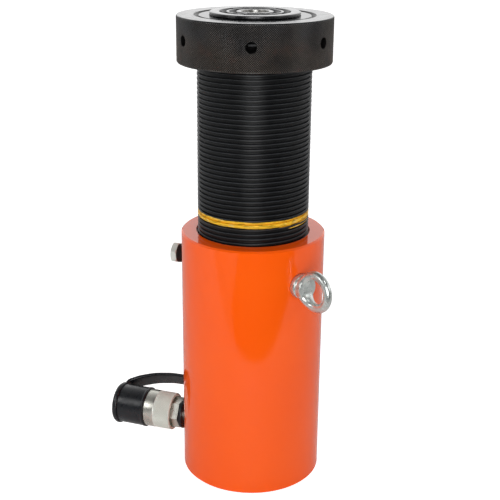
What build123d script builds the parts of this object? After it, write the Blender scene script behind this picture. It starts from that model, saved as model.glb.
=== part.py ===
from build123d import *
from math import asin, cos, degrees, hypot, radians, sin, sqrt, tan
import os

# Single-acting hydraulic ram with a threaded plunger and a locking collar, in millimetres.
# The origin is the centre of the base's underside, +Z points up the plunger and the oil port points along -X.

os.makedirs("parts", exist_ok=True)

# Clearances between pieces
running_fit = 0.05
thread_fit = 0.08
seated_fit = 0.02
free_gap = 0.3

# Cylinder body
body_diameter = 125.0
body_height = 228.0
body_floor = 22.0
bore_diameter = 97.0
mouth_diameter = 99.0
mouth_depth = 6.0
body_top_chamfer = 1.4
body_base_chamfer = 1.0
oil_hole_diameter = 6.0

# Plunger: diameters and lengths along it, counted from its lower end. Its thread is drawn as plain rings, a
# little further apart than the turns of the real 4 mm thread.
plunger_diameter = 96.0
stroke = 150.0
extension_shown = 145.2
floor_gap = 0.2
spigot_diameter = 88.0
spigot_length = 20.0
spigot_chamfer = 3.0
land_clearance = 0.3
seal_land = 3.0
guide_land = 2.8
thread_relief_width = 3.0
thread_relief_depth = 2.6
thread_depth = 2.0
thread_flank_angle = 75.0
thread_ring_spacing = 6.4
thread_ring_mouth = 2.8
plunger_end_recess = 0.4
plunger_end_chamfer = 1.2

# Rings of the piston
seal_height = 7.5
seal_depth = 6.0
seal_lip_depth = 3.0
seal_lip_width = 2.2
backup_height = 2.0
guide_height = 10.0
guide_thickness = 2.5
ring_side_gap = 0.1

# Locking collar
collar_diameter = 129.2
collar_height = 38.0
collar_clearance = 0.3
collar_edge_chamfer = 0.6
collar_thread_chamfer = 1.5
tommy_hole_diameter = 9.0
tommy_hole_depth = 12.0
tommy_hole_height = 20.0
tommy_hole_count = 6
tommy_hole_angle = -74.0
drill_point_angle = 118.0

# Tilting saddle, which swivels about the centre of its spherical underside
saddle_diameter = 74.6
saddle_stand = 3.0
saddle_rim_height = 2.5
saddle_sphere_radius = 42.0
saddle_sphere_reach = 30.0
saddle_tilt = 5.0
saddle_pocket_radius = 11.6
saddle_pocket_depth = 7.6
saddle_hole_radius = 7.2
saddle_groove_depth = 2.4
saddle_groove_radii = ((15.2, 21.4), (23.4, 29.4))
saddle_edge_chamfer = 0.5
moat_depth = 6.6
moat_width = 1.6

# Saddle screw
saddle_screw_diameter = 6.0
saddle_screw_length = 24.0
saddle_screw_head_diameter = 16.0
saddle_screw_head_height = 2.8
saddle_screw_play = 1.4
saddle_screw_socket = 5.0
saddle_screw_socket_depth = 1.8

# Lifting eye bolt, M8
eye_angle = -32.0
eye_below_top = 34.0
eye_seat_depth = 0.9
eye_reach = 20.0
eye_outer_diameter = 36.0
eye_inner_diameter = 20.0
eye_shoulder_diameter = 21.0
eye_shoulder_height = 6.5
eye_neck_diameter = 13.0
eye_neck_height = 4.5
eye_shank_diameter = 8.0
eye_shank_length = 10.0
eye_seat_margin = 0.6
eye_shoulder_edge = 1.2
eye_flare_sag = 0.9

# Overflow port, which limits the stroke, and its taper plug
overflow_below_top = 31.0
overflow_plug_diameter = 16.7
overflow_thread_length = 10.0
overflow_exposed_thread = 7.4
overflow_hex = 17.0
overflow_hex_height = 5.6
overflow_hex_turn = -8.0
overflow_corner_angle = 30.0
overflow_edge_margin = 0.4
overflow_core_diameter = 13.0
overflow_core_length = 2.0

# Oil port and quick coupler; reaches are distances from the plunger's axis along -X
port_height = 34.5
port_thread_diameter = 17.1
port_thread_length = 10.5
neck_exposed = 7.1
hex_across_flats = 25.0
hex_length = 10.0
hex_chamfer = 1.0
coupler_barrel_diameter = 24.0
coupler_barrel_length = 11.4
nose_diameter = 20.6
nose_length = 31.0
passage_diameter = 7.0
chamber_diameter = 14.0
chamber_length = 24.5
seat_ring_diameter = 15.2
seat_ring_length = 5.5
seat_hole_diameter = 6.0
ball_diameter = 10.0
ball_travel = 3.0
ball_setback = 2.0
ball_fit = 0.03
nose_seal_wire = 1.8
nose_seal_setback = 3.4
nose_seal_squeeze = 0.35

# Check spring
spring_wire = 0.9
spring_mean_radius = 3.6
spring_turns = 6

# Coupler sleeve
sleeve_diameter = 35.3
sleeve_front_diameter = 32.0
sleeve_back_overlap = 3.0
sleeve_length = 51.9
sleeve_step = 26.5
sleeve_back_bore_diameter = 30.0
sleeve_rib_start = 5.8
sleeve_rib_length = 4.0
sleeve_thread_diameter = 27.2
sleeve_chamfer = 0.8
sleeve_ring_wire = 1.8

# Dust cap, its strap and the strap's two eyelets
cap_wall = 2.15
cap_lip_height = 0.7
cap_lip_length = 3.6
cap_inside_gap = 0.5
cap_end_wall = 1.2
cap_groove_depth = 1.6
cap_head_length = 1.2
cap_fillet = 0.8
eyelet_thickness = 3.6
cap_eyelet_diameter = 39.4
neck_eyelet_diameter = 28.6
neck_eyelet_setback = 2.6
strap_width = 16.0
strap_thickness = 3.2
strap_lean = 55.0
strap_arch = 35.0
strap_cap_rise = 1.7
strap_shoulder_drop = 7.7
strap_crown_drops = (4.0, 0.8)
strap_cap_bend = 4.5
strap_crown_bend = 60.0
strap_neck_bend = 10.0
strap_cut_margin = 1.0

# Places worked out from the sizes above
body_radius = body_diameter / 2
bore_radius = bore_diameter / 2
plunger_radius = plunger_diameter / 2
plunger_bottom = body_floor + floor_gap + extension_shown
collar_bottom = body_height + collar_clearance + extension_shown
collar_top = collar_bottom + collar_height
plunger_top = collar_top - plunger_end_recess
saddle_top = plunger_top + saddle_stand
saddle_rim_bottom = saddle_top - saddle_rim_height
saddle_pivot = saddle_rim_bottom + sqrt(saddle_sphere_radius**2 - saddle_sphere_reach**2)
eye_height = body_height - eye_below_top
overflow_height = body_height - overflow_below_top
port_axis = Axis((0, 0, port_height), (-1, 0, 0))


def polar(radius, angle, height=0.0):
    """Point at a radius from the plunger's axis, at an angle in degrees from +X."""
    return (radius * cos(radians(angle)), radius * sin(radians(angle)), height)


def outward(angle, radius, height):
    """Plane that touches a cylinder of this radius, its z pointing away from the plunger's axis."""
    return Plane(origin=polar(radius, angle, height), x_dir=(0, 0, 1), z_dir=polar(1, angle))


def port_side(reach):
    """Plane square to the oil port's axis at a distance from the plunger's axis, facing outwards."""
    return Plane(origin=(-reach, 0, port_height), x_dir=(0, 1, 0), z_dir=(-1, 0, 0))


def on_port(profile):
    """Turns (reach, radius) points into points of Plane.XZ above the oil port's axis."""
    return [(-reach, port_height + radius) for reach, radius in profile]


# Piston rings, worked out from the plunger's lower end upwards
land_radius = bore_radius - land_clearance
seal_groove_bottom = plunger_bottom + spigot_length + seal_land
seal_groove_top = seal_groove_bottom + seal_height + backup_height + 3 * ring_side_gap
guide_groove_bottom = seal_groove_top + seal_land
guide_groove_top = guide_groove_bottom + guide_height + 2 * ring_side_gap
thread_relief_bottom = guide_groove_top + guide_land
thread_bottom = thread_relief_bottom + thread_relief_width
seal_groove_radius = land_radius - seal_depth
guide_groove_radius = land_radius - guide_thickness
ring_outer_radius = bore_radius - running_fit

# Cylinder body: a blind bore, the mouth's counterbore and the two ports and the eye bolt's seat in its wall
port_thread_start = body_radius - port_thread_length
overflow_thread_start = body_radius - overflow_thread_length
eye_seat_radius = body_radius - eye_seat_depth
with BuildPart() as cylinder_body:
    with BuildSketch():
        Circle(body_radius)
    extrude(amount=body_height)
    chamfer(cylinder_body.edges().sort_by(Axis.Z)[-1], body_top_chamfer)
    chamfer(cylinder_body.edges().sort_by(Axis.Z)[0], body_base_chamfer)
    with BuildSketch(Plane.XY.offset(body_floor)):
        Circle(bore_radius)
    extrude(amount=body_height - body_floor, mode=Mode.SUBTRACT)
    with BuildSketch(Plane.XY.offset(body_height - mouth_depth)):
        Circle(mouth_diameter / 2)
    extrude(amount=mouth_depth, mode=Mode.SUBTRACT)
    with Locations(outward(180, body_radius, port_height)):
        Hole(oil_hole_diameter / 2, depth=body_radius - bore_radius / 2)
        Hole(port_thread_diameter / 2 + seated_fit, depth=port_thread_length)
    with Locations(outward(180, body_radius, overflow_height)):
        Hole(oil_hole_diameter / 2, depth=body_radius - bore_radius / 2)
        Hole(overflow_plug_diameter / 2 + seated_fit, depth=overflow_thread_length)
    with Locations(outward(eye_angle, body_radius, eye_height)):
        Hole(eye_shoulder_diameter / 2 + eye_seat_margin, depth=eye_seat_depth)
        Hole(eye_shank_diameter / 2 + seated_fit, depth=eye_seat_depth + eye_shank_length + free_gap)
cylinder_body.part.label = "cylinder_body"
export_step(cylinder_body.part, "parts/cylinder_body.step")

# Plunger: spigot, grooved piston, threaded stem and, in its top, a spherical seat with a moat around it
seat_radius = saddle_sphere_radius + running_fit
rim_sweep_radius = hypot(saddle_diameter / 2, saddle_pivot - saddle_rim_bottom) + 2 * free_gap
seat_edge_angle = degrees(asin(saddle_sphere_reach / saddle_sphere_radius)) - saddle_tilt - 1.0
moat_bottom = plunger_top - moat_depth
screw_head_bottom = saddle_top - saddle_pocket_depth + saddle_screw_play
screw_end = screw_head_bottom - saddle_screw_length
screw_hole_radius = saddle_screw_diameter / 2 + seated_fit


def sphere_height(sphere, radius):
    """Height of the lower half of a sphere about the saddle's pivot, at a distance from the axis."""
    return saddle_pivot - sqrt(sphere**2 - radius**2)


def sphere_radius(sphere, height):
    """Distance from the axis at which a sphere about the saddle's pivot passes a height."""
    return sqrt(sphere**2 - (saddle_pivot - height) ** 2)


def sphere_arc(sphere, start_radius, end_radius):
    """Arc of that sphere's lower half between two distances from the axis."""
    middle_radius = (start_radius + end_radius) / 2
    radii = (start_radius, middle_radius, end_radius)
    return ThreePointArc(*[(radius, sphere_height(sphere, radius)) for radius in radii])


moat_outer_top = sphere_radius(rim_sweep_radius, plunger_top)
moat_outer_bottom = sphere_radius(rim_sweep_radius, moat_bottom)
seat_edge_radius = seat_radius * sin(radians(seat_edge_angle))
seat_edge_height = sphere_height(seat_radius, seat_edge_radius)
thread_start = thread_bottom + thread_relief_depth
thread_end = plunger_top - plunger_end_chamfer
thread_ring_count = int((thread_end - thread_start) / thread_ring_spacing)
thread_margin = (thread_end - thread_start - thread_ring_count * thread_ring_spacing) / 2
first_ring_height = thread_start + thread_margin + thread_ring_spacing / 2
thread_ring_heights = [first_ring_height + i * thread_ring_spacing for i in range(thread_ring_count)]
with BuildPart() as plunger:
    with BuildSketch(Plane.XZ):
        with BuildLine():
            Polyline(
                (0, plunger_bottom),
                (spigot_diameter / 2 - spigot_chamfer, plunger_bottom),
                (spigot_diameter / 2, plunger_bottom + spigot_chamfer),
                (spigot_diameter / 2, plunger_bottom + spigot_length),
                (land_radius, plunger_bottom + spigot_length),
                (land_radius, seal_groove_bottom),
                (seal_groove_radius, seal_groove_bottom),
                (seal_groove_radius, seal_groove_top),
                (land_radius, seal_groove_top),
                (land_radius, guide_groove_bottom),
                (guide_groove_radius, guide_groove_bottom),
                (guide_groove_radius, guide_groove_top),
                (land_radius, guide_groove_top),
                (land_radius, thread_relief_bottom),
                (plunger_radius - thread_relief_depth, thread_relief_bottom),
                (plunger_radius - thread_relief_depth, thread_bottom),
                (plunger_radius, thread_bottom + thread_relief_depth),
                (plunger_radius, plunger_top - plunger_end_chamfer),
                (plunger_radius - plunger_end_chamfer, plunger_top),
                (moat_outer_top, plunger_top),
            )
            sphere_arc(rim_sweep_radius, moat_outer_top, moat_outer_bottom)
            Polyline(
                (moat_outer_bottom, moat_bottom),
                (moat_outer_bottom - moat_width, moat_bottom),
                (seat_edge_radius, seat_edge_height),
            )
            sphere_arc(seat_radius, seat_edge_radius, screw_hole_radius)
            Polyline(
                (screw_hole_radius, sphere_height(seat_radius, screw_hole_radius)),
                (screw_hole_radius, screw_end - free_gap),
                (0, screw_end - free_gap),
                (0, plunger_bottom),
            )
        make_face()
    revolve(axis=Axis.Z)
    with BuildSketch(Plane.XZ):
        with Locations(*[(plunger_radius + free_gap, height) for height in thread_ring_heights]):
            Trapezoid(
                thread_ring_mouth,
                thread_depth + free_gap,
                thread_flank_angle,
                rotation=90,
                align=(Align.CENTER, Align.MIN),
            )
    revolve(axis=Axis.Z, mode=Mode.SUBTRACT)
plunger.part.label = "plunger"
export_step(plunger.part, "parts/plunger.step")

# U-shaped piston seal, open towards the oil below it
seal_bottom = seal_groove_bottom + ring_side_gap
seal_inner_radius = seal_groove_radius + running_fit
with BuildPart() as piston_seal:
    with BuildSketch(Plane.XZ):
        with BuildLine():
            Polyline(
                (seal_inner_radius, seal_bottom),
                (seal_inner_radius + seal_lip_width, seal_bottom),
                ((seal_inner_radius + ring_outer_radius) / 2, seal_bottom + seal_lip_depth),
                (ring_outer_radius - seal_lip_width, seal_bottom),
                (ring_outer_radius, seal_bottom),
                (ring_outer_radius, seal_bottom + seal_height),
                (seal_inner_radius, seal_bottom + seal_height),
                close=True,
            )
        make_face()
    revolve(axis=Axis.Z)
piston_seal.part.label = "piston_seal"
export_step(piston_seal.part, "parts/piston_seal.step")

# Backup ring, which keeps the seal out of the gap above it
backup_bottom = seal_bottom + seal_height + ring_side_gap
with BuildPart() as backup_ring:
    with BuildSketch(Plane.XY.offset(backup_bottom)):
        Circle(ring_outer_radius)
        Circle(seal_inner_radius, mode=Mode.SUBTRACT)
    extrude(amount=backup_height)
backup_ring.part.label = "backup_ring"
export_step(backup_ring.part, "parts/backup_ring.step")

# Guide ring, which carries the plunger in the bore
guide_bottom = guide_groove_bottom + ring_side_gap
with BuildPart() as guide_ring:
    with BuildSketch(Plane.XY.offset(guide_bottom)):
        Circle(ring_outer_radius)
        Circle(guide_groove_radius + running_fit, mode=Mode.SUBTRACT)
    extrude(amount=guide_height)
    chamfer(guide_ring.edges().filter_by(GeomType.CIRCLE).sort_by(SortBy.RADIUS)[-2:], guide_thickness / 5)
guide_ring.part.label = "guide_ring"
export_step(guide_ring.part, "parts/guide_ring.step")

# Locking collar with blind holes for a tommy bar around its side, each ending in the drill's cone
collar_radius = collar_diameter / 2
collar_bore_radius = plunger_radius + thread_fit
with BuildPart() as locking_collar:
    with BuildSketch(Plane.XY.offset(collar_bottom)):
        Circle(collar_radius)
        Circle(collar_bore_radius, mode=Mode.SUBTRACT)
    extrude(amount=collar_height)
    rims = locking_collar.edges().filter_by(GeomType.CIRCLE).sort_by(SortBy.RADIUS)
    chamfer(rims[-2:], collar_edge_chamfer)
    chamfer(rims[:2], collar_thread_chamfer)
    tommy_angles = [tommy_hole_angle + 360 * i / tommy_hole_count for i in range(tommy_hole_count)]
    tommy_height = collar_bottom + tommy_hole_height
    with Locations(*[outward(a, collar_radius, tommy_height) for a in tommy_angles]):
        Hole(tommy_hole_diameter / 2, depth=tommy_hole_depth)
    with Locations(*[outward(a, collar_radius - tommy_hole_depth, tommy_height) for a in tommy_angles]):
        Cone(
            tommy_hole_diameter / 2,
            0,
            tommy_hole_diameter / 2 / tan(radians(drill_point_angle / 2)),
            rotation=(180, 0, 0),
            align=(Align.CENTER, Align.CENTER, Align.MIN),
            mode=Mode.SUBTRACT,
        )
locking_collar.part.label = "locking_collar"
export_step(locking_collar.part, "parts/locking_collar.step")

# Tilting saddle: a grooved disc with a spherical underside and a pocket for the screw that holds it
saddle_radius = saddle_diameter / 2
pocket_floor = saddle_top - saddle_pocket_depth
with BuildPart() as saddle:
    with BuildSketch(Plane.XZ):
        with BuildLine():
            Polyline(
                (saddle_hole_radius, sphere_height(saddle_sphere_radius, saddle_hole_radius)),
                (saddle_hole_radius, pocket_floor),
                (saddle_pocket_radius, pocket_floor),
                (saddle_pocket_radius, saddle_top),
                (saddle_radius - saddle_edge_chamfer, saddle_top),
                (saddle_radius, saddle_top - saddle_edge_chamfer),
                (saddle_radius, saddle_rim_bottom),
                (saddle_sphere_reach, saddle_rim_bottom),
            )
            sphere_arc(saddle_sphere_radius, saddle_sphere_reach, saddle_hole_radius)
        make_face()
    revolve(axis=Axis.Z)
    for inner_radius, outer_radius in saddle_groove_radii:
        with BuildSketch(Plane.XY.offset(saddle_top - saddle_groove_depth)):
            Circle(outer_radius)
            Circle(inner_radius, mode=Mode.SUBTRACT)
        extrude(amount=saddle_groove_depth, mode=Mode.SUBTRACT)
saddle.part.label = "saddle"
export_step(saddle.part, "parts/saddle.step")

# Saddle screw, whose low head holds the saddle with a little play so that it can tilt
with BuildPart() as saddle_screw:
    with BuildSketch(Plane.XY.offset(screw_end)):
        Circle(saddle_screw_diameter / 2)
    extrude(amount=saddle_screw_length)
    with BuildSketch(Plane.XY.offset(screw_head_bottom)):
        Circle(saddle_screw_head_diameter / 2)
    extrude(amount=saddle_screw_head_height)
    fillet(saddle_screw.edges().group_by(Axis.Z)[-1], saddle_screw_head_height / 4)
    with BuildSketch(Plane.XY.offset(screw_head_bottom + saddle_screw_head_height)):
        RegularPolygon(saddle_screw_socket / 2, 6, major_radius=False)
    extrude(amount=-saddle_screw_socket_depth, mode=Mode.SUBTRACT)
saddle_screw.part.label = "saddle_screw"
export_step(saddle_screw.part, "parts/saddle_screw.step")

# Lifting eye bolt: shank, shoulder and neck turned about the bolt's axis, and the ring in an upright plane
eye_seat = Plane(
    origin=polar(eye_seat_radius, eye_angle, eye_height),
    x_dir=polar(1, eye_angle),
    z_dir=polar(1, eye_angle - 90),
)
eye_wire_radius = (eye_outer_diameter - eye_inner_diameter) / 4
eye_ring_radius = (eye_outer_diameter + eye_inner_diameter) / 4
eye_shoulder_radius = eye_shoulder_diameter / 2
eye_neck_radius = eye_neck_diameter / 2
eye_centre = eye_seat_depth + eye_reach
with BuildPart() as lifting_eye_bolt:
    with BuildSketch(eye_seat):
        with BuildLine():
            Polyline(
                (-eye_shank_length, 0),
                (-eye_shank_length, eye_shank_diameter / 2),
                (0, eye_shank_diameter / 2),
                (0, eye_shoulder_radius),
                (eye_shoulder_height - eye_shoulder_edge, eye_shoulder_radius),
                (eye_shoulder_height, eye_shoulder_radius - eye_shoulder_edge),
            )
            ThreePointArc(
                (eye_shoulder_height, eye_shoulder_radius - eye_shoulder_edge),
                (
                    eye_shoulder_height + eye_neck_height / 2 - eye_flare_sag,
                    (eye_shoulder_radius - eye_shoulder_edge + eye_neck_radius) / 2 - eye_flare_sag,
                ),
                (eye_shoulder_height + eye_neck_height, eye_neck_radius),
            )
            Polyline(
                (eye_shoulder_height + eye_neck_height, eye_neck_radius),
                (eye_shoulder_height + eye_neck_height, 0),
                (-eye_shank_length, 0),
            )
        make_face()
    revolve(axis=Axis(eye_seat.origin, eye_seat.x_dir))
    with Locations(Plane(eye_seat.from_local_coords((eye_centre, 0, 0)), z_dir=eye_seat.z_dir)):
        Torus(eye_ring_radius, eye_wire_radius)
        Cylinder(eye_inner_diameter / 2, 2 * eye_wire_radius, mode=Mode.SUBTRACT)
lifting_eye_bolt.part.label = "lifting_eye_bolt"
export_step(lifting_eye_bolt.part, "parts/lifting_eye_bolt.step")

# Taper plug of the overflow port, with some of its thread left showing under the hexagon, whose corners are
# turned off at both ends
overflow_hex_start = body_radius + overflow_exposed_thread
overflow_hex_end = overflow_hex_start + overflow_hex_height
overflow_corner_radius = overflow_hex / 2 / cos(radians(30)) + overflow_edge_margin
overflow_corner_run = (overflow_corner_radius - overflow_hex / 2) * tan(radians(overflow_corner_angle))
with BuildPart() as overflow_plug:
    with BuildSketch(outward(180, overflow_thread_start, overflow_height)):
        Circle(overflow_plug_diameter / 2)
    extrude(amount=overflow_thread_length + overflow_exposed_thread)
    with BuildSketch(outward(180, overflow_hex_start, overflow_height)):
        RegularPolygon(overflow_hex / 2, 6, major_radius=False, rotation=overflow_hex_turn)
    extrude(amount=overflow_hex_height)
    with BuildSketch(outward(180, overflow_thread_start, overflow_height)):
        Circle(overflow_core_diameter / 2)
    extrude(amount=overflow_core_length, mode=Mode.SUBTRACT)
    with BuildSketch(Plane.XZ):
        with BuildLine():
            Polyline(
                (-overflow_thread_start, overflow_height),
                (-overflow_thread_start, overflow_height + overflow_hex / 2),
                (-overflow_hex_start, overflow_height + overflow_hex / 2),
                (-overflow_hex_start - overflow_corner_run, overflow_height + overflow_corner_radius),
                (-overflow_hex_end + overflow_corner_run, overflow_height + overflow_corner_radius),
                (-overflow_hex_end, overflow_height + overflow_hex / 2 - overflow_edge_margin),
                (-overflow_hex_end, overflow_height),
                close=True,
            )
        make_face()
    revolve(axis=Axis((0, 0, overflow_height), (-1, 0, 0)), mode=Mode.INTERSECT)
overflow_plug.part.label = "overflow_plug"
export_step(overflow_plug.part, "parts/overflow_plug.step")

# Coupler body: threaded neck, hexagon, barrel and nose, bored for the check ball
hex_start = body_radius + neck_exposed
barrel_start = hex_start + hex_length
nose_start = barrel_start + coupler_barrel_length
nose_end = nose_start + nose_length
seat_ring_start = nose_end - seat_ring_length
chamber_start = seat_ring_start - chamber_length
sleeve_start = barrel_start - sleeve_back_overlap
rib_end = sleeve_start + sleeve_rib_start + sleeve_rib_length
sleeve_ring_centre = rib_end + free_gap + sleeve_ring_wire / 2
barrel_radius = coupler_barrel_diameter / 2
nose_radius = nose_diameter / 2
nose_seal_centre = nose_end - nose_seal_setback
nose_seal_radius = nose_radius + nose_seal_squeeze - nose_seal_wire / 2
with BuildPart() as coupler_body:
    with BuildSketch(port_side(port_thread_start)):
        Circle(port_thread_diameter / 2)
    extrude(amount=hex_start - port_thread_start)
    with BuildSketch(port_side(hex_start)):
        RegularPolygon(hex_across_flats / 2, 6, major_radius=False)
    extrude(amount=hex_length)
    chamfer(coupler_body.faces().filter_by(Axis.X).sort_by(Axis.X)[0].edges(), hex_chamfer)
    with BuildSketch(port_side(barrel_start - hex_chamfer)):
        Circle(barrel_radius)
    extrude(amount=coupler_barrel_length + hex_chamfer)
    with BuildSketch(port_side(nose_start)):
        Circle(nose_radius)
    extrude(amount=nose_length)
    with BuildSketch(port_side(port_thread_start)):
        Circle(passage_diameter / 2)
    extrude(amount=nose_end - port_thread_start, mode=Mode.SUBTRACT)
    with BuildSketch(port_side(chamber_start)):
        Circle(chamber_diameter / 2)
    extrude(amount=chamber_length, mode=Mode.SUBTRACT)
    with BuildSketch(port_side(seat_ring_start)):
        Circle(seat_ring_diameter / 2 + seated_fit)
    extrude(amount=seat_ring_length, mode=Mode.SUBTRACT)
    with Locations(port_side(sleeve_ring_centre)):
        Torus(barrel_radius, sleeve_ring_wire / 2 + seated_fit, mode=Mode.SUBTRACT)
    with Locations(port_side(nose_seal_centre)):
        Torus(nose_seal_radius, nose_seal_wire / 2 + seated_fit, mode=Mode.SUBTRACT)
coupler_body.part.label = "coupler_body"
export_step(coupler_body.part, "parts/coupler_body.step")

# Valve seat ring, pressed into the nose, with a cone that the ball closes against
ball_radius = ball_diameter / 2
ball_centre = seat_ring_start - ball_setback
cone_contact = ball_radius * sin(radians(45))
cone_back_radius = 2 * cone_contact + ball_centre - seat_ring_start
cone_end = seat_ring_start + cone_back_radius - seat_hole_diameter / 2
with BuildPart() as valve_seat:
    with BuildSketch(Plane.XZ):
        with BuildLine():
            Polyline(
                on_port(
                    [
                        (seat_ring_start, cone_back_radius),
                        (cone_end, seat_hole_diameter / 2),
                        (nose_end, seat_hole_diameter / 2),
                        (nose_end, seat_ring_diameter / 2),
                        (seat_ring_start, seat_ring_diameter / 2),
                    ]
                ),
                close=True,
            )
        make_face()
    revolve(axis=port_axis)
valve_seat.part.label = "valve_seat"
export_step(valve_seat.part, "parts/valve_seat.step")

# Check ball, held against the seat by its spring
with BuildPart() as check_ball:
    with Locations(port_side(ball_centre)):
        Sphere(ball_radius - ball_fit)
check_ball.part.label = "check_ball"
export_step(check_ball.part, "parts/check_ball.step")

# Check spring, from the chamber's floor to the back of the ball
spring_start = chamber_start + spring_wire / 2 + seated_fit
spring_contact = sqrt((ball_radius + spring_wire / 2) ** 2 - spring_mean_radius**2)
spring_length = ball_centre - spring_contact - spring_start - running_fit
with BuildPart() as check_spring:
    with BuildLine() as spring_line:
        Helix(
            pitch=spring_length / spring_turns,
            height=spring_length,
            radius=spring_mean_radius,
            center=(-spring_start, 0, port_height),
            direction=(-1, 0, 0),
        )
    with BuildSketch(Plane(spring_line.line @ 0, z_dir=spring_line.line % 0)):
        Circle(spring_wire / 2)
    sweep(path=spring_line.line, is_frenet=True)
check_spring.part.label = "check_spring"
export_step(check_spring.part, "parts/check_spring.step")

# Nose seal, an O-ring in the nose's groove
with BuildPart() as nose_seal:
    with Locations(port_side(nose_seal_centre)):
        Torus(nose_seal_radius, nose_seal_wire / 2)
nose_seal.part.label = "nose_seal"
export_step(nose_seal.part, "parts/nose_seal.step")

# Wire ring that keeps the sleeve on the coupler body
with BuildPart() as sleeve_ring:
    with Locations(port_side(sleeve_ring_centre)):
        Torus(barrel_radius, sleeve_ring_wire / 2)
sleeve_ring.part.label = "sleeve_ring"
export_step(sleeve_ring.part, "parts/sleeve_ring.step")

# Coupler sleeve: spins on the coupler body's barrel by its rib, with the hose's thread inside its front
sleeve_end = sleeve_start + sleeve_length
sleeve_step_reach = sleeve_start + sleeve_step
sleeve_radius = sleeve_diameter / 2
sleeve_front_radius = sleeve_front_diameter / 2
with BuildPart() as coupler_sleeve:
    with BuildSketch(Plane.XZ):
        with BuildLine():
            Polyline(
                on_port(
                    [
                        (sleeve_start, sleeve_back_bore_diameter / 2),
                        (sleeve_start, sleeve_radius - sleeve_chamfer),
                        (sleeve_start + sleeve_chamfer, sleeve_radius),
                        (sleeve_step_reach, sleeve_radius),
                        (sleeve_step_reach, sleeve_front_radius),
                        (sleeve_end - sleeve_chamfer, sleeve_front_radius),
                        (sleeve_end, sleeve_front_radius - sleeve_chamfer),
                        (sleeve_end, sleeve_thread_diameter / 2),
                        (rib_end, sleeve_thread_diameter / 2),
                        (rib_end, barrel_radius + running_fit),
                        (sleeve_start + sleeve_rib_start, barrel_radius + running_fit),
                        (sleeve_start + sleeve_rib_start, sleeve_back_bore_diameter / 2),
                    ]
                ),
                close=True,
            )
        make_face()
    revolve(axis=port_axis)
coupler_sleeve.part.label = "coupler_sleeve"
export_step(coupler_sleeve.part, "parts/coupler_sleeve.step")

# Dust cap: a soft cup over the sleeve's front, with a groove and a head for the strap's eyelet
cap_start = sleeve_step_reach + free_gap
cap_inside_end = sleeve_end + cap_inside_gap
cap_groove_start = cap_inside_end + cap_end_wall
cap_groove_end = cap_groove_start + eyelet_thickness + 2 * ring_side_gap
cap_end = cap_groove_end + cap_head_length
cap_inner_radius = sleeve_front_radius + running_fit
cap_radius = cap_inner_radius + cap_wall
cap_groove_radius = cap_radius - cap_groove_depth
with BuildPart() as dust_cap:
    with BuildSketch(Plane.XZ):
        with BuildLine():
            Polyline(
                on_port(
                    [
                        (cap_start, cap_inner_radius),
                        (cap_start, cap_radius + cap_lip_height),
                        (cap_start + cap_lip_length, cap_radius + cap_lip_height),
                        (cap_start + cap_lip_length + cap_lip_height, cap_radius),
                        (cap_groove_start, cap_radius),
                        (cap_groove_start, cap_groove_radius),
                        (cap_groove_end, cap_groove_radius),
                        (cap_groove_end, cap_radius),
                        (cap_end, cap_radius),
                        (cap_end, 0),
                        (cap_inside_end, 0),
                        (cap_inside_end, cap_inner_radius),
                    ]
                ),
                close=True,
            )
        make_face()
    revolve(axis=port_axis)
    fillet(dust_cap.edges().sort_by(Axis.X)[0], cap_fillet)
dust_cap.part.label = "dust_cap"
export_step(dust_cap.part, "parts/dust_cap.step")

# Eyelet of the strap, snapped into the dust cap's groove
cap_eyelet_start = cap_groove_start + ring_side_gap
cap_eyelet_radius = cap_eyelet_diameter / 2
with BuildPart() as cap_eyelet:
    with BuildSketch(port_side(cap_eyelet_start)):
        Circle(cap_eyelet_radius)
        Circle(cap_groove_radius + seated_fit, mode=Mode.SUBTRACT)
    extrude(amount=eyelet_thickness)
    fillet(cap_eyelet.edges().filter_by(GeomType.CIRCLE).sort_by(SortBy.RADIUS)[-2:], cap_fillet)
cap_eyelet.part.label = "cap_eyelet"
export_step(cap_eyelet.part, "parts/cap_eyelet.step")

# Eyelet of the strap, round the coupler's neck
neck_eyelet_start = body_radius + neck_eyelet_setback
neck_eyelet_radius = neck_eyelet_diameter / 2
with BuildPart() as neck_eyelet:
    with BuildSketch(port_side(neck_eyelet_start)):
        Circle(neck_eyelet_radius)
        Circle(port_thread_diameter / 2 + seated_fit, mode=Mode.SUBTRACT)
    extrude(amount=eyelet_thickness)
    fillet(neck_eyelet.edges().filter_by(GeomType.CIRCLE).sort_by(SortBy.RADIUS)[-2:], cap_fillet)
neck_eyelet.part.label = "neck_eyelet"
export_step(neck_eyelet.part, "parts/neck_eyelet.step")

# Strap: a flat band that arches from the cap's eyelet to the neck's eyelet and leans to one side. It is drawn
# in a leaning plane through the port's axis, where x is the reach and y is the distance from that axis.
neck_strap_reach = neck_eyelet_start + eyelet_thickness / 2
cap_strap_reach = cap_eyelet_start + eyelet_thickness / 2
strap_span = cap_strap_reach - neck_strap_reach
strap_plane = Plane(
    origin=(0, 0, port_height),
    x_dir=(-1, 0, 0),
    z_dir=(0, cos(radians(strap_lean)), -sin(radians(strap_lean))),
)
strap_route = [
    (cap_strap_reach, cap_groove_radius),
    (cap_strap_reach, cap_eyelet_radius + strap_cap_rise),
    (cap_strap_reach - strap_span * 0.16, strap_arch - strap_shoulder_drop),
    (cap_strap_reach - strap_span * 0.37, strap_arch - strap_crown_drops[0]),
    (cap_strap_reach - strap_span * 0.64, strap_arch - strap_crown_drops[1]),
    (neck_strap_reach, strap_arch),
    (neck_strap_reach, port_thread_diameter / 2),
]
strap_bends = [strap_cap_bend, strap_crown_bend / 2, strap_crown_bend, strap_crown_bend, strap_neck_bend]
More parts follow.
